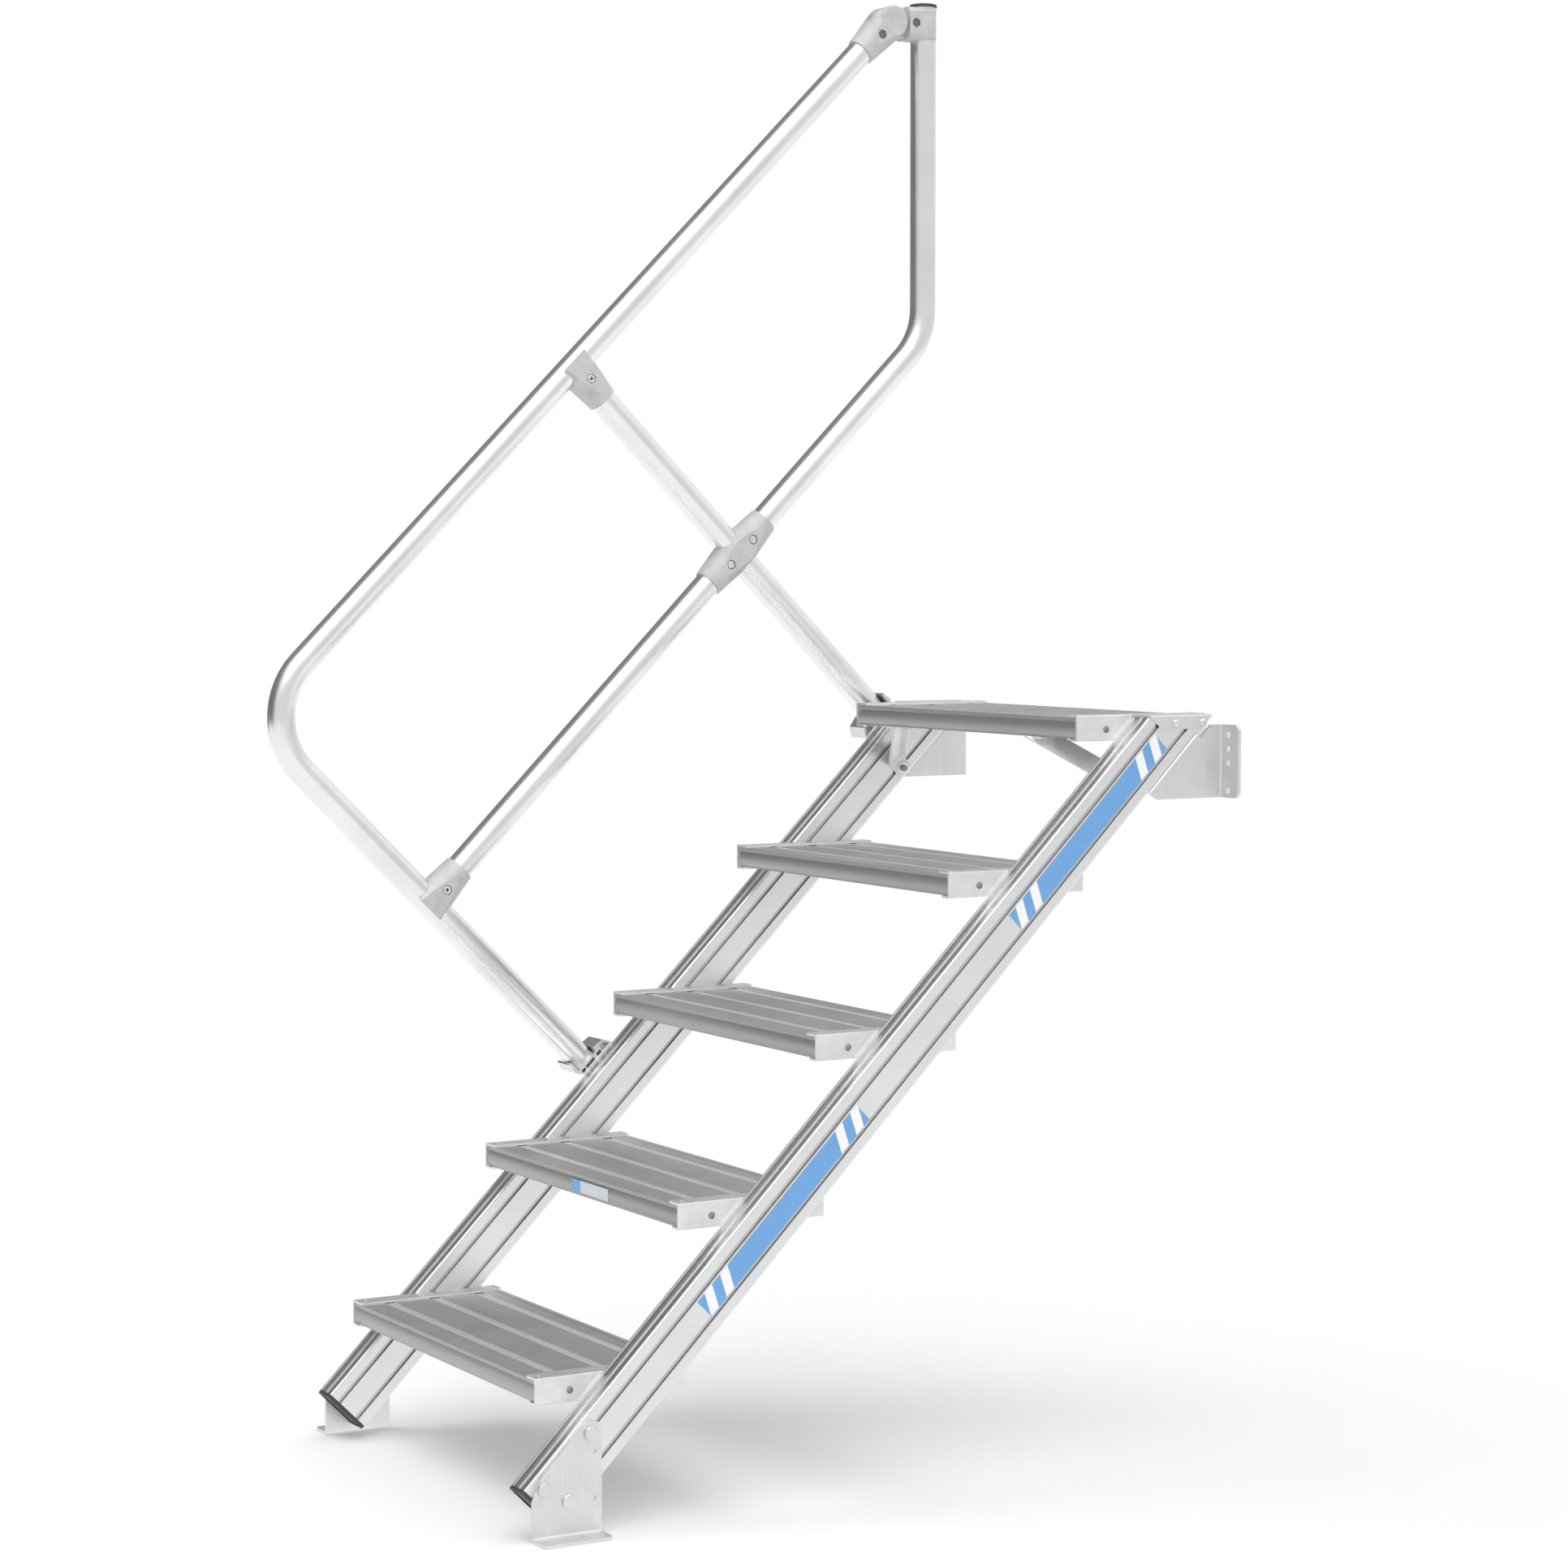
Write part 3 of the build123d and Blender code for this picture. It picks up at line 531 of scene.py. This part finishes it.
# Heads are rows of (radius, height, share of hexagon) for turnedForm. They reach into the metal
# under them by the sink. A hole's bevel and a plug's dips are in millimetres, the dome's end is
# an angle, and the rest are shares of a radius or a height.
heads = {
    "sink": 0.3, "saucerShoulder": 0.86, "saucerHalf": 0.45, "saucerRings": 7,
    "domeRim": 0.25, "domeEnd": 1.45, "domeRings": 8,
    "nutShoulder": 0.72, "nutChamfer": 0.84, "nutCrown": ((0.4, 1.04), (0.0, 1.06)),
    "holeEdge": 1.15, "holeBevel": 0.25, "socketFit": 0.96,
    "plugDip": ((0.9, 0.25, 1.0), (0.5, 0.55, 0.5), (0.0, 0.6, 0.0)),
}


def sunkRim(radius, hexagon=0.0):
    # the closed bottom, sunk below the surface that a head sits on
    return [(0.0, -heads["sink"], 0.0), (radius, -heads["sink"], hexagon)]


def saucerHead(radius, height):
    # a low crowned head: from the rim to the shoulder the radius falls by the cosine and the
    # height grows by the sine of a quarter turn, and a flat cone closes the middle
    shoulder, half = heads["saucerShoulder"], heads["saucerHalf"]
    angle = np.linspace(0.0, math.pi / 2, heads["saucerRings"])
    curve = [(radius * (shoulder + (1 - shoulder) * math.cos(a)),
              height * half * (1 + math.sin(a)), 0.0) for a in angle]
    return [*sunkRim(radius), *curve, (0.0, height, 0.0)]


def domeHead(radius, height):
    # a round head: the radius by the cosine, the height by the sine above a short straight rim
    rim = heads["domeRim"]
    angle = np.linspace(0.0, heads["domeEnd"], heads["domeRings"])
    curve = [(radius * math.cos(a), height * (rim + (1 - rim) * math.sin(a)), 0.0) for a in angle]
    return [*sunkRim(radius), *curve, (0.0, height, 0.0)]


def nutForm(radius, height, hole=0.0, depth=0.0):
    # hexagon sides and a turned chamfer, then a hole in the middle or else a low crown
    rows = [*sunkRim(radius, 1.0), (radius, height * heads["nutShoulder"], 1.0),
            (radius * heads["nutChamfer"], height, 0.0)]
    if hole:
        return [*rows, (hole * heads["holeEdge"], height, 0.0),
                (hole, height - heads["holeBevel"], 0.0), (hole, height - depth, 0.0),
                (0.0, height - depth, 0.0)]
    return rows + [(radius * share, height * up, 0.0) for share, up in heads["nutCrown"]]


def plugForm(radius, height):
    # a dark hexagon whose face dips towards the middle
    return [*sunkRim(radius, 1.0), (radius, height, 1.0),
            *((radius * share, height - dip, edge) for share, dip, edge in heads["plugDip"])]


def flatForm(radius, height, hexagon):
    # a flat disc or hexagon
    return [*sunkRim(radius, hexagon), (radius, height, hexagon), (0.0, height, 0.0)]


footBolts = {
    "plate": 5.0, "radius": 10.0, "height": 5.0, "segments": 48,
    "places": ((58.3, 135.0), (-9.6, 69.4), (26.0, 49.3)),
    "rivetRows": ((0.0, -3.0, 0.0), (2.9, -3.0, 0.0), (2.9, -0.6, 0.0), (1.6, -0.9, 0.0),
                  (0.0, -1.0, 0.0)),
    "rivetSegments": 28, "rivetPlaces": ((63.0, 49.0), (63.0, 111.0)),
}
coverBolts = {
    "sheet": 3.0, "radius": 6.0, "height": 3.4, "segments": 36,
    "places": ((988.7, 1040.0), (1035.8, 1040.3)),
}
# grey discs in the holes of the channels: the treads' ends seen through them, darkened as painted
# shade
channelHoleShades = {"back": 50.5, "down": 20.0, "radius": 4.9, "height": 2.4, "segments": 32}
braceFixing = {
    "sheet": 3.0, "place": (930.6, 949.3),
    "washerRadius": 10.5, "washerHeight": 1.6, "washerSegments": 40,
    "nutRadius": 5.2, "nutHeight": 5.0, "nutLift": 1.4, "nutSegments": 36,
}
flangeRivets = {
    "across": 284.5, "backs": (12.0, 212.0), "radius": 3.0, "height": 1.1, "segments": 24,
}


def stepPlace(step, x, back, up):
    # a place on one step: its own rise and going times the step's number
    return (x, step * stair["going"] + back, stair["firstStep"] + step * stair["rise"] + up)


for side, sign in (("right", 1.0), ("left", -1.0)):
    out, inward = (sign, 0.0, 0.0), (-sign, 0.0, 0.0)

    footX = sign * (outerFace + footBolts["plate"])
    form = saucerHead(footBolts["radius"], footBolts["height"])
    forms = [turnedForm(form, (footX, *place), out, footBolts["segments"])
             for place in footBolts["places"]]
    forms += [turnedForm(footBolts["rivetRows"], (footX, *place), out, footBolts["rivetSegments"])
              for place in footBolts["rivetPlaces"]]
    newPiece("foot_bolts_" + side, *joinForms(forms), materials["plate"], "plate")

    coverX = sign * (outerFace + coverBolts["sheet"])
    form = domeHead(coverBolts["radius"], coverBolts["height"])
    forms = [turnedForm(form, (coverX, *place), out, coverBolts["segments"])
             for place in coverBolts["places"]]
    newPiece("cover_bolts_" + side, *joinForms(forms), materials["bolt"], "plate")

    # grey discs that fill the channels' holes: the treads' ends in painted shade
    channelX = sign * stair["halfWidth"]
    form = saucerHead(channelHoleShades["radius"], channelHoleShades["height"])
    forms = [turnedForm(form, stepPlace(step, channelX, channelHoleShades["back"],
                                        -channelHoleShades["down"]), inward, channelHoleShades["segments"])
             for step in range(stair["steps"])]
    newPiece("channel_hole_shades_" + side, *joinForms(forms), materials["boltEndAndHoleShade"], "sheet")

    braceX = sign * (stair["halfWidth"] - braceFixing["sheet"])
    form = saucerHead(braceFixing["washerRadius"], braceFixing["washerHeight"])
    washer = turnedForm(form, (braceX, *braceFixing["place"]), inward,
                        braceFixing["washerSegments"])
    newPiece("brace_washer_" + side, *washer, materials["bolt"], "plate")
    nutX = braceX - sign * braceFixing["nutLift"]
    nut = turnedForm(nutForm(braceFixing["nutRadius"], braceFixing["nutHeight"]),
                     (nutX, *braceFixing["place"]), inward, braceFixing["nutSegments"])
    newPiece("brace_bolt_" + side, *nut, materials["boltEndAndHoleShade"], "plate")

    rivetX = sign * flangeRivets["across"]
    form = domeHead(flangeRivets["radius"], flangeRivets["height"])
    forms = [turnedForm(form, stepPlace(step, rivetX, back, 0.0), (0.0, 0.0, 1.0),
                        flangeRivets["segments"])
             for step in range(stair["steps"]) for back in flangeRivets["backs"]]
    newPiece("flange_rivets_" + side, *joinForms(forms), materials["plate"], "sheet")

# Screws of the castings, on both cheeks; a reach is the distance from where the tubes cross.
castingScrews = {
    "reach": 27.0, "swivelReach": 32.0, "collarReach": 27.0, "pocketDepth": 2.0, "segments": 36,
    "teeRadius": 6.8, "crossRadius": 6.4, "nutHeight": 1.7,
    "hole": 2.6, "holeDepth": 1.4, "holeFloor": 0.5,
    "plugRadius": 7.6, "plugHeight": 1.3, "rimHeight": 0.35,
}
pivotStation = ((stair["pivotY"] - stair["noseOverhang"]) / math.cos(stair["slope"])
                + stair["railHeight"])
pivotZ = slopePoint(pivotStation, stair["railHeight"])[1]
pocketFloor = stair["fittingHalf"] - castingScrews["pocketDepth"]
reach = castingScrews["reach"]
teePlaces = [slopePoint(stair["legStation"] + reach, stair["kneeHeight"]),
             slopePoint(stair["braceStation"], stair["railHeight"] - reach)]
crossPlaces = [slopePoint(stair["braceStation"] + turn * reach, stair["kneeHeight"])
               for turn in (-1, 1)]
swivelPlaces = [slopePoint(pivotStation - castingScrews["swivelReach"], stair["railHeight"])]
collarPlaces = [(stair["postY"] - castingScrews["collarReach"], pivotZ)]
teeNut = nutForm(castingScrews["teeRadius"], castingScrews["nutHeight"], castingScrews["hole"],
                 castingScrews["holeDepth"])
crossNut = nutForm(castingScrews["crossRadius"], castingScrews["nutHeight"])
plug = plugForm(castingScrews["plugRadius"], castingScrews["plugHeight"])
# painted shade: dark hexagon sheets round the nuts in their pockets, and dark discs deep in the
# tee screws' holes
nutShadeRim = flatForm(castingScrews["plugRadius"], castingScrews["rimHeight"], 1.0)
teeSocketShade = flatForm(castingScrews["hole"] * heads["socketFit"], castingScrews["holeFloor"], 0.0)
for name, places, form, finish, corner in (
    ("nut_rim_shades", teePlaces + crossPlaces, nutShadeRim, "darkBoltAndShade", upSlope),
    ("tee_screws", teePlaces, teeNut, "bolt", upSlope),
    ("tee_socket_shades", teePlaces, teeSocketShade, "darkBoltAndShade", upSlope),
    ("cross_screws", crossPlaces, crossNut, "bolt", upSlope),
    ("swivel_screws", swivelPlaces, plug, "darkBoltAndShade", upSlope),
    ("collar_screws", collarPlaces, plug, "darkBoltAndShade", (0.0, 0.0, 1.0)),
):
    forms = [turnedForm(form, (stair["railX"] + sign * pocketFloor, y, z), (sign, 0.0, 0.0),
                        castingScrews["segments"], corner)
             for y, z in places for sign in (1.0, -1.0)]
    newPiece(name, *joinForms(forms), materials[finish], "casting")

seatBolts = {
    "plate": 6.0, "along": 14.5, "depth": 18.5,
    "washerRadius": 9.2, "washerHeight": 1.4, "washerSegments": 40,
    "nutRadius": 6.8, "nutHeight": 5.0, "nutLift": 1.2, "nutSegments": 36,
}
seatX = -outerFace - seatBolts["plate"]
washer = saucerHead(seatBolts["washerRadius"], seatBolts["washerHeight"])
nut = nutForm(seatBolts["nutRadius"], seatBolts["nutHeight"])
forms = []
for station, turn in ((stair["legStation"], 1.0), (stair["braceStation"], -1.0)):
    y, z = slopePoint(station + turn * seatBolts["along"], -seatBolts["depth"])
    forms.append(turnedForm(washer, (seatX, y, z), (-1.0, 0.0, 0.0),
                            seatBolts["washerSegments"]))
    forms.append(turnedForm(nut, (seatX - seatBolts["nutLift"], y, z), (-1.0, 0.0, 0.0),
                            seatBolts["nutSegments"]))
newPiece("seat_bolts", *joinForms(forms), materials["bolt"], "plate")
print("fixings made")


studio = {
    "floorSize": 16.0, "floorColour": (0.94, 0.923, 0.919, 1.0), "clear": (0.7, 1.9),
    "glossyFloor": 0.95,
    "beltLow": (-0.34, -0.08), "beltHigh": (0.24, 0.56), "beltLevel": 0.70,
    "openTowards": (-0.75, 0.66, 0.0), "openEdge": (0.45, 0.85), "openShare": 0.25,
    "sideTowards": (-0.76, -0.20, 0.62), "sideEdge": (0.56, 0.86), "sideLevel": 0.205,
    "frontTowards": (-0.62, -0.78, 0.0), "frontEdge": (0.35, 0.90), "frontLevel": 0.18,
    "aboveEdge": (0.45, 0.75), "aboveGain": 0.15,
    "boxTowards": (0.45, -0.30, 0.84), "boxEdge": (0.82, 0.96), "boxLevel": 1.9,
}
keyLamp = {"place": (-1.9, -1.6, 4.2), "aim": (-0.36, 0.5, 0.9), "size": 2.6, "power": 64.0}


def floorFinish():
    # matt near the stair, so that it takes the shadow, and plain white further out and in the
    # metal's reflections
    material, tree = newMaterial("paleFloor")
    place = newNode(tree, "TexCoord").outputs["Object"]
    away = newNode(tree, "VectorMath", {0: place})
    away.operation = "LENGTH"
    far = rangeNode(tree, away.outputs["Value"], studio["clear"])
    path = newNode(tree, "LightPath")
    glossy = path.outputs["Is Glossy Ray"]
    seen = mathNode(tree, "MAXIMUM", path.outputs["Is Camera Ray"], glossy)
    seen = mathNode(tree, "MAXIMUM", seen, path.outputs["Is Transmission Ray"])
    share = mathNode(tree, "MULTIPLY", far, seen)
    mirrored = mathNode(tree, "MULTIPLY", glossy, studio["glossyFloor"])
    share = mathNode(tree, "MAXIMUM", share, mirrored)
    matt = newNode(tree, "BsdfDiffuse", {"Color": studio["floorColour"]})
    glow = newNode(tree, "Emission", {"Color": white, "Strength": 1.0})
    mix = newNode(tree, "MixShader", {"Fac": share, 1: matt.outputs[0], 2: glow.outputs[0]})
    newNode(tree, "OutputMaterial", {"Surface": mix.outputs[0]})
    return material


def lobeNode(tree, direction, towards, edges):
    # one in the middle of a direction, nothing beyond a wide cone round it
    dot = newNode(tree, "VectorMath", {0: direction, 1: Vector(towards).normalized()})
    dot.operation = "DOT_PRODUCT"
    return rangeNode(tree, dot.outputs["Value"], edges)


def paleWorld():
    # white all round, with a greyer belt near the level of the floor that opens behind the
    # stair, a grey card up on the left, another in front, and a bright box up on the right; where
    # cards overlap, the darkest counts
    world = bpy.data.worlds.new("studioWorld")
    world.use_nodes = True
    tree = world.node_tree
    tree.nodes.clear()
    direction = newNode(tree, "TexCoord").outputs["Generated"]
    up = newNode(tree, "SeparateXYZ", {"Vector": direction}).outputs["Z"]
    belt = mathNode(tree, "MULTIPLY", rangeNode(tree, up, studio["beltLow"]),
                    rangeNode(tree, up, studio["beltHigh"], 1.0, 0.0))
    behind = lobeNode(tree, direction, studio["openTowards"], studio["openEdge"])
    behind = mathNode(tree, "MULTIPLY", behind, studio["openShare"])
    belt = mathNode(tree, "MULTIPLY", belt, mathNode(tree, "SUBTRACT", 1.0, behind))
    side = lobeNode(tree, direction, studio["sideTowards"], studio["sideEdge"])
    front = lobeNode(tree, direction, studio["frontTowards"], studio["frontEdge"])
    level = 1.0
    for share, key in ((belt, "beltLevel"), (side, "sideLevel"), (front, "frontLevel")):
        card = mathNode(tree, "MULTIPLY_ADD", share, studio[key] - 1.0, 1.0)
        level = mathNode(tree, "MINIMUM", level, card)
    above = rangeNode(tree, up, studio["aboveEdge"], 1.0, 1.0 + studio["aboveGain"])
    box = lobeNode(tree, direction, studio["boxTowards"], studio["boxEdge"])
    box = mathNode(tree, "MULTIPLY_ADD", box, studio["boxLevel"] - 1.0, 1.0)
    level = mathNode(tree, "MULTIPLY", level, mathNode(tree, "MULTIPLY", above, box))
    seen = newNode(tree, "LightPath").outputs["Is Camera Ray"]
    level = mathNode(tree, "MAXIMUM", level, seen)
    background = newNode(tree, "Background", {"Strength": level, "Color": white})
    newNode(tree, "OutputWorld", {"Surface": background.outputs[0]})
    return world


edge = studio["floorSize"] / 2
floorMesh = bpy.data.meshes.new("floor")
floorCorners = [(-edge, -edge, 0.0), (edge, -edge, 0.0), (edge, edge, 0.0), (-edge, edge, 0.0)]
floorMesh.from_pydata(floorCorners, [], [(0, 1, 2, 3)])
floorMesh.materials.append(floorFinish())
floor = bpy.data.objects.new("floor", floorMesh)
bpy.context.scene.collection.objects.link(floor)

bpy.context.scene.world = paleWorld()
keyData = bpy.data.lights.new("keyLamp", "AREA")
keyData.shape = "DISK"
keyData.size = keyLamp["size"]
keyData.energy = keyLamp["power"]
key = bpy.data.objects.new("keyLamp", keyData)
key.location = keyLamp["place"]
keyWay = Vector(keyLamp["aim"]) - Vector(keyLamp["place"])
key.rotation_euler = keyWay.to_track_quat("-Z", "Y").to_euler()
key.visible_glossy = False
bpy.context.scene.collection.objects.link(key)

cameraView = {
    "imageSize": 1932.0, "focal": 4493.4, "azimuth": 60.129, "pitch": -3.297, "sensor": 36.0,
    "place": (4.1757, -2.0829, 1.2512),
}
cameraData = bpy.data.cameras.new("photoCamera")
cameraData.sensor_width = cameraView["sensor"]
cameraData.lens = cameraView["focal"] / cameraView["imageSize"] * cameraView["sensor"]
camera = bpy.data.objects.new("photoCamera", cameraData)
turn, pitch = math.radians(cameraView["azimuth"]), math.radians(cameraView["pitch"])
forward = Vector((-math.sin(turn) * math.cos(pitch), math.cos(turn) * math.cos(pitch),
                  math.sin(pitch)))
aim = forward.to_track_quat("-Z", "Y").to_matrix().to_4x4()
camera.matrix_world = Matrix.Translation(cameraView["place"]) @ aim
bpy.context.scene.collection.objects.link(camera)
bpy.context.scene.camera = camera
bpy.context.scene.view_settings.view_transform = "Standard"
print("floor, light and camera set")
